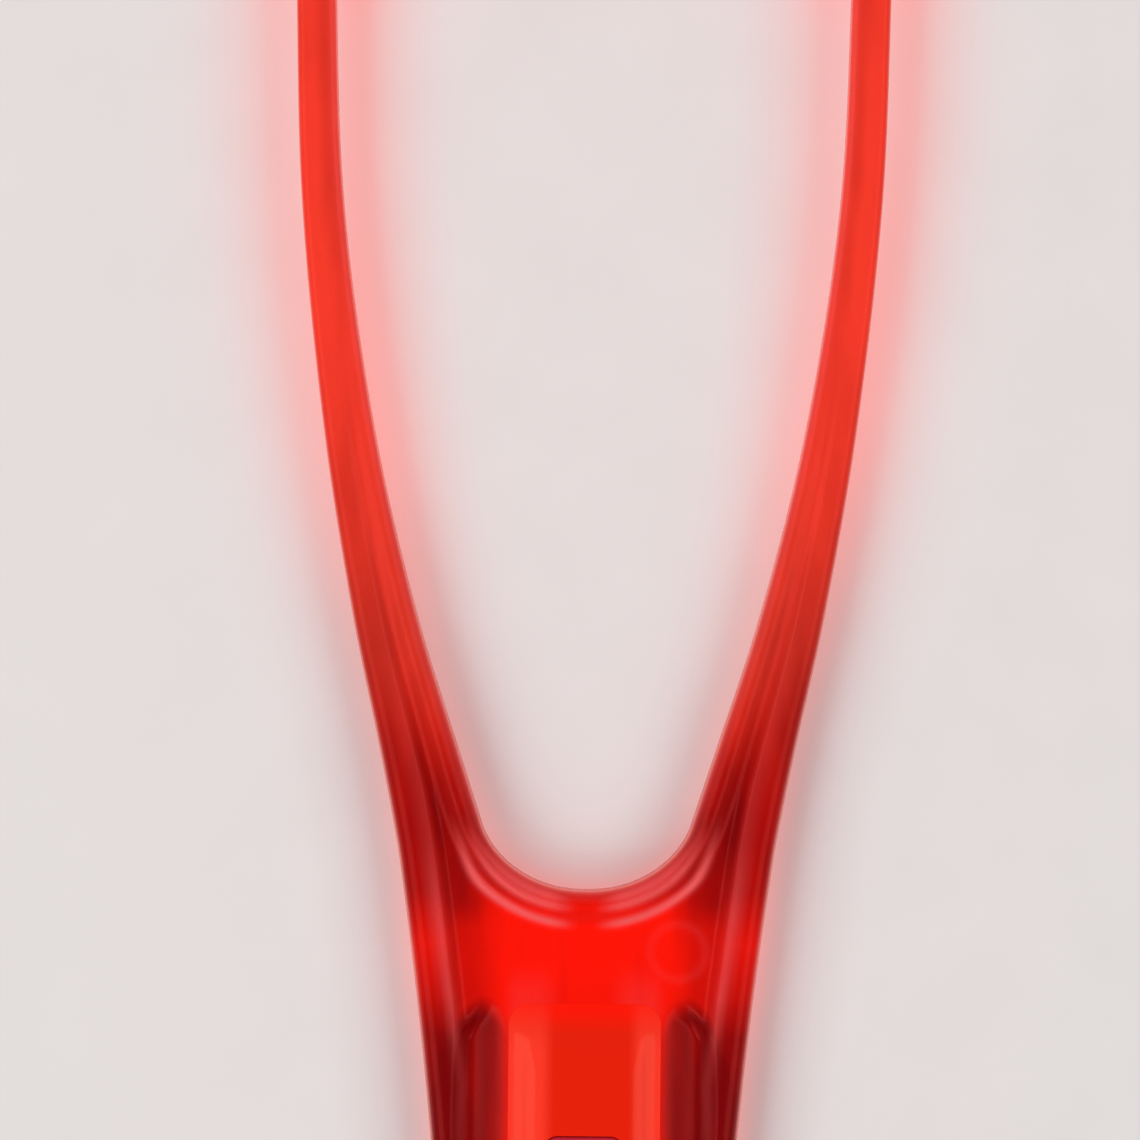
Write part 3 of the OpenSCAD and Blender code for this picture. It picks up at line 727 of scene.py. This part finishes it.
class SCRAPER_OT_frame(ScraperStep, Operator):
    """Build the moulded fork: handle, junction and two arms"""

    bl_idname = "scraper.frame"
    bl_label = "Fork"

    def execute(self, context):
        s, _, grip, colours = self.sizes(context)
        fork = Fork(s)
        rings = fork.rows()
        count, n = rings.shape[:2]
        half = rings.reshape(-1, 3)
        faces = ring_faces(count, n)
        # The two halves meet in the middle plane, so the faces that lie in it go
        faces = faces[np.abs(half[faces][:, :, 0]).max(1) > 0]
        points = np.concatenate([half, half * (-1, 1, 1)])
        points[:, 2] += s.ejector_h * self.ejector_ring(points, s)
        tip = np.arange((count - 1) * n, count * n)
        faces = [*faces, *(faces[:, ::-1] + count * n), tip, tip[::-1] + count * n]
        piece = mesh_object("fork", points, faces, (0, fork.crotch_y, 0))
        cut(piece, plate_tool(INLAY_BOX, grip.inlay_corner_r, s.seam, INLAY_BOX[0].z, CAD_BOX[1].z + OVERRUN))
        cut(piece, plate_tool(GRIP_BOX, grip.back_corner_r, s.fit_gap, -OVERRUN, GRIP_BOX[1].z))
        for spigot in fork.spigot_tools():
            cut(piece, spigot, "UNION")
        self.tone(piece, fork)
        finish_piece(piece, "frame", moulded_polystyrene(colours, STREAKS_ALONG))
        return {"FINISHED"}

    # Here lengths are in mm, y is the height above the crotch and x the distance from the middle. Painted
    # shades and glows are shares. First the painted shade, where the plastic looks deep, at a y: on the
    # rails, beside the bead and on the bead
    rail_depths = (
        (-86, 0.45), (-55, 0.6), (-30, 0.85), (-15, 0.95), (-11, 0.88), (-8, 0.5), (-4, 0.3), (0, 0.72),
        (9, 0.72), (15, 0.56), (22, 0.42), (44, 0))
    valley_depths = (
        (-12, 0.3), (-8, 0.5), (-5.5, 0.42), (-3, 0.45), (-1, 0.8), (4, 0.95), (9, 0.85), (15, 0.58),
        (22, 0.4), (44, 0))
    bead_depths = (
        (-3, 0), (-1.4, 0.1), (-0.6, 0.35), (0, 0.5), (2, 0.68), (5, 0.85), (9, 0.74), (15, 0.5), (22, 0.34),
        (44, 0))
    # How much painted glow the crease beside a rail gets at a y, where it lies as a share of the rail, and
    # its half width
    crease_glows = (
        (-40, 0.08), (-15, 0.17), (-10, 0.24), (-8, 0.38), (-2, 0.46), (0, 0.36), (4, 0.16), (14, 0.08),
        (22, 0))
    crease_shares = ((-15, 1.25), (-10, 0.94), (-6, 0.86), (0, 0.84))
    crease_w = 0.4
    # From here a pair is a span over which a painted shade or glow comes in or goes, unless its name ends in
    # shades
    valley_x, valley_y, bead_end, rail_end = (5.5, 9.5), (-0.5, 3), (-0.9, 0.1), (-0.2, 0.8)
    # The shares of painted shade at an arm's outer and inner edge, where they come in, and the painted darker
    # stripe near the head
    arm_depths, arm_start = (1.1, 0.6), (5, 14)
    arm_shade, shade_y, shade_across = 0.22, (35, 50), ((0.35, 0.7), (0.8, 1))
    # Where a flute's painted shade starts, at its tip: its x, how far it is below the crotch and its bend.
    # Its side, its floor, their shades and its end
    flute_tip = (8, 6.8, 0.45)
    flute_side, flute_floor, flute_depths, flute_end = (-0.7, 1), (1.2, 2.2), (0.86, 0.98), (-3, 0)
    # The painted highlights along the opening's edge and in the arcs below it: distance from the edge, half
    # width and glow
    rim_line = (0, 0.45, 0.45)
    arcs = ((0.7, 0.5, 0.65), (1.4, 0.3, 0.8), (2.65, 0.3, 1))
    # Where the arcs end, and where and how far they close up on the edge
    arcs_y, arcs_x, closer_y, closer_share = (0, 6), (0.5, 3), (0, 4), 0.75
    # The painted glow on the ejector's ring, and on the web where it leads into the inlay's bevels
    ring_glow, lead_glow, lead_x, lead_y = 0.07, 0.12, ((-4.2, -2), (-0.8, 0.6)), (-3.6, 0)
    # The upward part of the normal where back turns to front, and the share of its painted shade that the
    # back keeps
    front_tilt, back_share = (-0.3, 0.3), 0.35
    # Where an arm turns slender, taking the arms' tint with its painted glow, and how far in from an edge the
    # painted edge glow reaches
    slender_y, edge_w = (4, 20), (0.5, 1)
    # The wall that dims the light: its width, its end, its height above the back and its share down there
    wall_w, wall_y, wall_z, wall_foot = (0.6, 1.6), (10, 35), (0.4, 2), 0.35

    @staticmethod
    def ejector_ring(points, s):
        """How much each point lies on the faint ring that the mould's ejector leaves on the front web."""
        off = np.hypot(points[:, 0] - s.ejector_x, points[:, 1] + s.ejector_drop) - s.ejector_d / 2
        return (points[:, 2] > s.handle_t / 2) * soft_line(off, s.ejector_w / 2)

    def tone(self, piece, fork):
        """Marks the painted shade where the plastic looks deep, the painted glow where it gathers light or
        lets it out, and where it is slender or thick.
        """
        s = fork.s
        at = per_vertex(piece, "co") - (0, fork.crotch_y, 0)
        ring = self.ejector_ring(at, s)
        at[:, 0] = np.abs(at[:, 0])
        x, y = at[:, 0] / MM, at[:, 1] / MM
        rim, mouth = (nearest(at, line) / MM for line in fork.edge_lines())
        size = fork.shrink(at[:, 1])
        rail = np.array([fork.rail(v) for v in at[:, 1]]) / MM * size
        bead = s.bead_w / MM * size
        across = rim / (rim + mouth)
        off_inlay = x - INLAY_BOX[1].x / MM
        past_inlay = (INLAY_BOX[1].y - fork.crotch_y) / MM - y
        front = ramp(per_vertex(piece, "normal")[:, 2], *self.front_tilt)
        depths = (self.rail_depths, self.valley_depths, self.bead_depths)
        rail_depth, valley_depth, bead_depth, crease_glow, crease_share = (
            np.interp(y, *zip(*table)) for table in (*depths, self.crease_glows, self.crease_shares))
        deep = valley_depth * np.maximum(ramp(x, *self.valley_x), ramp(y, *self.valley_y))
        deep = mix(bead_depth, deep, ramp(mouth - bead, *self.bead_end))
        deep = mix(rail_depth, deep, ramp(rim - rail, *self.rail_end))
        deep = deep * mix(1, mix(*self.arm_depths, across), ramp(y, *self.arm_start))
        deep = deep + self.arm_shade * ramp(y, *self.shade_y) * between(across, *self.shade_across)
        tip_x, tip_y, tip_bend = self.flute_tip
        tip = -tip_y - tip_bend * (x - tip_x) ** 2
        beside = ramp(off_inlay, *self.flute_side) * (1 - ramp(y - tip, *self.flute_end))
        beside = beside * mix(*self.flute_depths, ramp(off_inlay, *self.flute_floor))
        deep = np.maximum(deep, beside * ramp(at[:, 1], -s.flute_foot, -s.flute_foot + s.flute_fade_l))
        glow = crease_glow * soft_line(rim - crease_share * rail, self.crease_w)
        bottom = (1 - ramp(y, *self.arcs_y)) * ramp(x, *self.arcs_x)
        closer = mix(1, self.closer_share, ramp(y, *self.closer_y))
        for (place, half_w, strength), reach in ((self.rim_line, 1), *((arc, bottom) for arc in self.arcs)):
            glow = np.maximum(glow, reach * strength * soft_line(mouth - place * closer, half_w))
        glow = np.maximum(glow, self.ring_glow * ring)
        lead = between(off_inlay, *self.lead_x) * ramp(past_inlay, *self.lead_y)
        glow = np.maximum(glow, self.lead_glow * lead)
        off_edge = np.minimum(rim, mouth)
        above_back = (at[:, 2] - fork.lift(at[:, 1])) / MM
        wall = (1 - ramp(off_edge, *self.wall_w)) * (1 - ramp(y, *self.wall_y))
        set_marks(
            piece, deep=deep * mix(self.back_share, 1, front), glow=glow * front,
            slender=ramp(y, *self.slender_y), edge=lit_edge(piece) * (1 - ramp(off_edge, *self.edge_w)),
            thick=wall * mix(self.wall_foot, 1, ramp(above_back, *self.wall_z)))


class SCRAPER_OT_bar(ScraperStep, Operator):
    """Build the arched bar that closes the head"""

    bl_idname = "scraper.bar"
    bl_label = "Head bar"
    # The steps that the mesh takes up a leg, round a corner and along half the arch, and along a slot
    steps = (8, 26, 60)
    slot_steps = 60

    def execute(self, context):
        s, blade, _, colours = self.sizes(context)
        fork = Fork(s)
        head = Head(fork, blade)
        right = joined(*(np.linspace(leg, leg + 1, count) for leg, count in enumerate(self.steps)))
        rings = [head.section(t, 1) for t in right] + [head.section(t, -1) for t in right[-2::-1]]
        piece = capped("head_bar", rings, (0, fork.crotch_y, 0))
        for bore in fork.spigot_tools(s.fit_gap, s.bore_end_gap):
            cut(piece, bore)
        root, top = blade.root_t / 2 + s.fit_gap, s.head_lift + blade.root_d + s.fit_gap
        side = blade.thickness / 2 + s.fit_gap
        slot = [(-root, top), (-side, s.head_lift), (-side, s.head_lift - OVERRUN)]
        slot += [(-x, z) for x, z in slot[::-1]]
        for r, span in ((head.smooth_r, head.smooth_span), (head.ridged_r, head.ridged_span)):
            cut(piece, head.swept("slot", r, span + s.fit_gap / r, lambda a: slot, self.slot_steps))
        # An even painted shade, and painted glow only on the rounded edges
        set_marks(piece, deep=0.1, glow=0, slender=1, thick=0, edge=lit_edge(piece))
        finish_piece(piece, "scraper_bar", moulded_polystyrene(colours, STREAKS_ACROSS))
        return {"FINISHED"}


class Head:
    """The arched bar's edges and the paths of the two blades, above the crotch."""

    # How much of the arch each blade takes
    blade_span_share = 0.85

    def __init__(self, fork, blade):
        s = fork.s
        self.fork, self.s = fork, s
        self.arch_y = s.head_l - s.arch_r
        self.outer_centre = self.corner_centre(fork.head_w / 2 - s.corner_r, s.arch_r - s.corner_r)
        self.inner_centre = self.corner_centre(
            fork.head_w / 2 - s.arm_tip_w - s.inner_corner_r, s.arch_r - s.bar_d - s.inner_corner_r)
        self.smooth_r = s.arch_r - blade.inset
        self.ridged_r = s.arch_r - s.bar_d + blade.inset
        self.smooth_span = (math.pi / 2 - self.turn(self.outer_centre)) * self.blade_span_share
        self.ridged_span = (math.pi / 2 - self.turn(self.inner_centre)) * self.blade_span_share

    def corner_centre(self, x, r):
        """The centre of a corner at x, on a circle of radius r about the arch's centre."""
        return np.array([x, self.arch_y + math.sqrt(r ** 2 - x ** 2)])

    def turn(self, centre):
        """The angle at which a corner's centre lies from the arch's centre."""
        return math.atan2(centre[1] - self.arch_y, centre[0])

    def edge(self, t, centre, r, arch):
        """A point on an edge: t runs up the leg to 1, round the corner to 2 and along the arch to 3."""
        if t < 1:
            return np.array([centre[0] + r, mix(self.fork.joint_l, centre[1], t)])
        if t < 2:
            a = self.turn(centre) * (t - 1)
            return centre + r * np.array([math.cos(a), math.sin(a)])
        a = mix(self.turn(centre), math.pi / 2, t - 2)
        return np.array([0, self.arch_y]) + arch * np.array([math.cos(a), math.sin(a)])

    def section(self, t, side):
        """The bar's rounded section at t."""
        s = self.s
        a = self.edge(t, self.outer_centre, s.corner_r, s.arch_r)
        b = self.edge(t, self.inner_centre, s.inner_corner_r, s.arch_r - s.bar_d)
        across = (b - a) / np.linalg.norm(b - a)
        r = s.edge_r * self.fork.shrink(self.fork.joint_l)
        rim = edge_places(r, self.fork.edge_steps)
        flat = np.concatenate([a + rim[:, None] * across, (b - rim[:, None] * across)[::-1]])
        drops = edge_drop(r, np.concatenate([rim, rim[::-1]]))
        top = np.column_stack([side * flat[:, 0], flat[:, 1], s.head_lift + s.arm_tip_t - drops])
        under = np.column_stack([side * flat[:, 0], flat[:, 1], s.head_lift + drops])
        return np.concatenate([top, under[::-1]])

    def swept(self, name, r, span, profile, count):
        """A closed sweep along the arch of a profile of distances from r and heights."""
        rings = []
        for a in np.linspace(-span, span, count):
            p = np.array(profile(a))
            rings.append(np.column_stack([
                (r + p[:, 0]) * math.sin(a), self.arch_y + (r + p[:, 0]) * math.cos(a), p[:, 1]]))
        return capped(name, rings, (0, self.fork.crotch_y, 0))


class SCRAPER_OT_blades(ScraperStep, Operator):
    """Build the smooth blade and the ridged blade under the bar"""

    bl_idname = "scraper.blades"
    bl_label = "Blades"
    # The steps that the mesh takes along the smooth and the ridged blade, and round a scraping edge
    smooth_steps, ridged_steps, edge_steps = 120, 400, 9

    def execute(self, context):
        s, blade, _, colours = self.sizes(context)
        head = Head(Fork(s), blade)
        material = thin_polystyrene(colours)
        notch = blade.notch_w / 2
        pitch = blade.tooth_pitch / head.ridged_r
        notches = math.floor(2 * head.ridged_span / pitch) - 1

        def profile(low):
            tip = blade.edge_t / 2
            turn = np.radians(np.linspace(0, 180, self.edge_steps))
            side = [(blade.root_t / 2, s.head_lift + blade.root_d), (blade.thickness / 2, s.head_lift)]
            heel = mix(tip, blade.thickness / 2, (low + tip) / s.head_lift)
            rounded = [(-heel * math.cos(a), low + tip * (1 - math.sin(a))) for a in turn]
            return [(-x, z) for x, z in side] + rounded + side[::-1]

        def toothed(a):
            places = (np.arange(notches) - (notches - 1) / 2) * pitch
            off = np.abs(places - a).min() * head.ridged_r
            return profile(max(0, notch - off))

        smooth_blade = head.swept(
            "smooth_blade_piece", head.smooth_r, head.smooth_span, lambda a: profile(0), self.smooth_steps)
        ridged_blade = head.swept(
            "ridged_blade_piece", head.ridged_r, head.ridged_span, toothed, self.ridged_steps)
        finish_piece(smooth_blade, "smooth_blade", material)
        finish_piece(ridged_blade, "ridged_blade", material)
        return {"FINISHED"}


class SCRAPER_OT_inlay(ScraperStep, Operator):
    """Build the bevelled inlay along the handle"""

    bl_idname = "scraper.inlay"
    bl_label = "Inlay"
    # How far the rounding at the foot and the top of the crown's slope reaches, as a share of its width
    fillet_share = 0.45
    # How many outlines make up the slope, and how many cuts go along the crown and across each end
    slope_steps, crown_cuts, end_cuts = 41, 15, 13
    crown_corner_r = 0.5 * MM
    # How far the bevels' painted highlight leans to one side, as from a light on that side, and how far it
    # blurs
    lean, blur = 0.5 * MM, 0.6 * MM
    # The spans in from an end over which that painted highlight comes in and the end's own colour goes
    glow_start, end_colour = (-2 * MM, 4 * MM), (0.3 * MM, 2.5 * MM)

    def execute(self, context):
        s, _, grip, colours = self.sizes(context)
        low, high = INLAY_BOX
        middle, half_w, half_l = (low.y + high.y) / 2, high.x, (high.y - low.y) / 2
        crown_x, bevel_l = grip.crown_w / 2, grip.crown_end_l
        levels = [(rounded_outline(half_w, half_l, grip.inlay_corner_r), low.z)]
        for inset in np.linspace(0, 1, self.slope_steps):
            rise = slope_step(mix(-self.fillet_share, 1 + self.fillet_share, inset), self.fillet_share)
            outline = rounded_outline(
                mix(half_w, crown_x, inset), half_l - bevel_l * inset,
                mix(grip.inlay_corner_r, self.crown_corner_r, inset))
            levels.append((outline, mix(high.z - grip.crown_h, high.z, rise)))
        piece = stacked("inlay", levels, middle)
        ends = np.linspace(0, 2 * bevel_l, self.end_cuts)[1:]
        sliced(piece, 0, np.linspace(-crown_x, crown_x, self.crown_cuts))
        sliced(piece, 1, [v for end in ends for v in (low.y + end, high.y - end)])
        cut(piece, plate_tool(THUMB_BOX, grip.thumb_corner_r, s.fit_gap, THUMB_BOX[0].z, high.z + OVERRUN))
        at = per_vertex(piece, "co")
        # Painted highlight on the bevels, and the web's colour at the ends
        side = ramp(np.abs(at[:, 0] - self.lean) - crown_x, -self.blur, self.blur)
        end = half_l - np.abs(at[:, 1] - middle)
        set_marks(piece, glow=side * ramp(end, *self.glow_start), end=1 - ramp(end, *self.end_colour))
        finish_piece(piece, "handle_inlay", inlay_plastic(colours), 20)
        return {"FINISHED"}


def pad(name, box, corner_r, edge_r, faces_up, face_z, relief):
    """A pad with a rounded rim, whose face looks up or down and carries a relief of heights."""
    half_w, half_l = (box[1].x - box[0].x) / 2, (box[1].y - box[0].y) / 2
    outward, root_z = (1, box[0].z) if faces_up else (-1, box[1].z)
    end = half_l - edge_places(edge_r, PAD_EDGE_STEPS)
    rings = []
    for y in joined(-end, np.arange(-end[-1], end[-1], PAD_STEP), end[::-1]):
        past = max(0, abs(y) - (half_l - corner_r))
        side = half_w - corner_r + math.sqrt(max(0, corner_r ** 2 - past ** 2))
        x = side * np.sin(np.linspace(-math.pi / 2, math.pi / 2, PAD_WIDTH_STEPS))
        q = np.stack([np.abs(x) - (half_w - corner_r), 0 * x + abs(y) - (half_l - corner_r)])
        inside = corner_r - np.hypot(*np.clip(q, 0, None)) - np.minimum(q.max(0), 0)
        z = face_z + outward * (relief(x, y) - edge_drop(edge_r, inside))
        face = np.column_stack([x, 0 * x + y, z])
        rings.append(np.concatenate([face, [(side, y, root_z), (-side, y, root_z)]]))
    return capped(name, rings, (0, (box[0].y + box[1].y) / 2, 0))


def row_of(room, pitch, almost=1e-6):
    """The places of as many copies as fit or almost fit, set evenly about zero."""
    count = math.floor(room / pitch + almost) + 1
    return (np.arange(count) - (count - 1) / 2) * pitch


class SCRAPER_OT_pads(ScraperStep, Operator):
    """Build the ribbed thumb pad and the grooved back grip"""

    bl_idname = "scraper.pads"
    bl_label = "Soft pads"
    # The spans over which a rib and a groove end, in from the margin
    rib_end, groove_end = (-0.1 * MM, 0.2 * MM), (-0.2 * MM, 0.3 * MM)

    def execute(self, context):
        _, _, grip, colours = self.sizes(context)
        rubber = soft_rubber(colours)
        thumb_l, back_l = (box[1].y - box[0].y for box in (THUMB_BOX, GRIP_BOX))
        ribs = row_of(thumb_l - 2 * grip.thumb_margin - grip.rib_w, grip.rib_pitch)
        grooves = row_of(back_l - 2 * grip.back_margin - grip.groove_w, grip.groove_pitch)
        rib_r = ((grip.rib_w / 2) ** 2 + grip.rib_h ** 2) / (2 * grip.rib_h)
        groove_r = grip.groove_w / 2

        def ribbed(x, y):
            off = np.abs(ribs - y).min()
            height = math.sqrt(max(0, rib_r ** 2 - off ** 2)) - (rib_r - grip.rib_h)
            room = THUMB_BOX[1].x - grip.thumb_margin - np.abs(x)
            return max(0, height) * ramp(room, *self.rib_end)

        def grooved(x, y):
            off = np.abs(grooves - y).min()
            depth = math.sqrt(max(0, groove_r ** 2 - off ** 2))
            room = GRIP_BOX[1].x - grip.back_margin - np.abs(x)
            return -depth * ramp(room, *self.groove_end)

        thumb = pad("thumb_rest", THUMB_BOX, grip.thumb_corner_r, grip.pad_edge_r, True,
                    THUMB_BOX[1].z - grip.rib_h, ribbed)
        back = pad("back_pad", GRIP_BOX, grip.back_corner_r, grip.pad_edge_r, False, GRIP_BOX[0].z, grooved)
        finish_piece(thumb, "thumb_pad", rubber, 50)
        finish_piece(back, "back_grip", rubber, 50)
        return {"FINISHED"}


class SCRAPER_OT_stage(ScraperStep, Operator):
    """Set the pale floor, the soft studio light and the camera"""

    bl_idname = "scraper.stage"
    bl_label = "Stage"

    # Each softbox: name, turn from +X and height in degrees, width and length in metres, radiance
    softboxes = (
        ("left_softbox", 180, 50, 1.1, 0.5, 2.2),
        ("right_softbox", 0, 50, 1.1, 0.5, 1.95),
        ("foot_strip", 235, 40, 0.25, 0.5, 2.5),
        ("head_softbox", 90, 45, 0.6, 0.45, 1.0))
    softbox_distance = 0.8
    floor_size = 4
    # Just below the back of the handle, so that the two faces don't lie in one plane
    floor_z = -0.02 * MM
    # The sky's brightness low and high, and the heights between which it changes
    sky_light = (0.45, 0.12)
    sky_span = (0.05, 0.7)
    # The width that the picture shows, and the camera
    frame_w = 86.36 * MM
    camera_place = (-1.43 * MM, 24.2 * MM)
    camera_height = 0.7
    camera_roll = 0.52
    sensor_w = 36

    def execute(self, context):
        *_, colours = self.sizes(context)
        scene = context.scene
        half = self.floor_size / 2
        corners = [(half * x, half * y, self.floor_z) for x, y in ((-1, -1), (1, -1), (1, 1), (-1, 1))]
        floor = mesh_object("floor", corners, [range(4)])
        floor.data.materials.append(coated_board(colours))
        self.sky(scene)
        for name, turn, height, width, long, radiance in self.softboxes:
            light = bpy.data.lights.new(name, "AREA")
            light.shape = "RECTANGLE"
            light.size, light.size_y = width, long
            light.energy = radiance * math.pi * width * long
            box = bpy.data.objects.new(name, light)
            t, h = math.radians(turn), math.radians(height)
            box.location = [self.softbox_distance * v for v in (
                math.cos(h) * math.cos(t), math.cos(h) * math.sin(t), math.sin(h))]
            box.rotation_euler = box.location.to_track_quat("Z", "Y").to_euler()
            box.visible_camera = False
            scene.collection.objects.link(box)
        lens = bpy.data.cameras.new("camera")
        lens.sensor_width = self.sensor_w
        lens.lens = self.sensor_w * self.camera_height / self.frame_w
        camera = bpy.data.objects.new("camera", lens)
        camera.location = (*self.camera_place, self.camera_height + INLAY_BOX[0].z)
        camera.rotation_euler = (0, 0, math.radians(self.camera_roll))
        scene.collection.objects.link(camera)
        scene.camera = camera
        scene.view_settings.view_transform = "Standard"
        return {"FINISHED"}

    def sky(self, scene):
        """A studio that is pale at the horizon and dim overhead, where nothing hangs."""
        world = bpy.data.worlds.new("studio")
        world.use_nodes = True
        tree = world.node_tree
        tree.nodes.clear()
        place = add(tree, "ShaderNodeTexCoord").outputs["Generated"]
        height = add(tree, "ShaderNodeSeparateXYZ", {0: place}).outputs["Z"]
        spans = dict(enumerate((height, *self.sky_span, *self.sky_light)))
        strength = add(tree, "ShaderNodeMapRange", spans, interpolation_type="SMOOTHSTEP")
        light = add(tree, "ShaderNodeBackground", {"Color": (1, 1, 1, 1), "Strength": strength.outputs[0]})
        add(tree, "ShaderNodeOutputWorld", {"Surface": light.outputs[0]})
        scene.world = world


class SCRAPER_PT_panel(Panel):
    """Lists the steps and the sizes in the sidebar."""

    bl_idname = "SCRAPER_PT_panel"
    bl_label = "Tongue scraper"
    bl_space_type = "VIEW_3D"
    bl_region_type = "UI"
    bl_category = "Scraper"

    def draw(self, context):
        for step in STEPS:
            self.layout.operator(step.bl_idname)
        for group in ScraperStep.sizes(context):
            column = self.layout.box().column(align=True)
            for name in group.__annotations__:
                column.prop(group, name)


GROUPS = {
    "fork_sizes": ForkSizes, "blade_sizes": BladeSizes, "grip_sizes": GripSizes,
    "finish_colours": FinishColours}
STEPS = (
    SCRAPER_OT_frame, SCRAPER_OT_bar, SCRAPER_OT_blades, SCRAPER_OT_inlay, SCRAPER_OT_pads, SCRAPER_OT_stage)


def register():
    """Adds the sizes, the steps and the panel."""
    for name, group in GROUPS.items():
        bpy.utils.register_class(group)
        setattr(bpy.types.Scene, name, PointerProperty(type=group))
    for step in (*STEPS, SCRAPER_PT_panel):
        bpy.utils.register_class(step)


def unregister():
    """Takes them away again."""
    for step in (SCRAPER_PT_panel, *STEPS[::-1]):
        bpy.utils.unregister_class(step)
    for name, group in GROUPS.items():
        delattr(bpy.types.Scene, name)
        bpy.utils.unregister_class(group)


def main():
    """Builds the scraper and its stage."""
    register()
    bpy.ops.scraper.frame()
    bpy.ops.scraper.bar()
    bpy.ops.scraper.blades()
    bpy.ops.scraper.inlay()
    bpy.ops.scraper.pads()
    bpy.ops.scraper.stage()


if __name__ == "__main__":
    main()
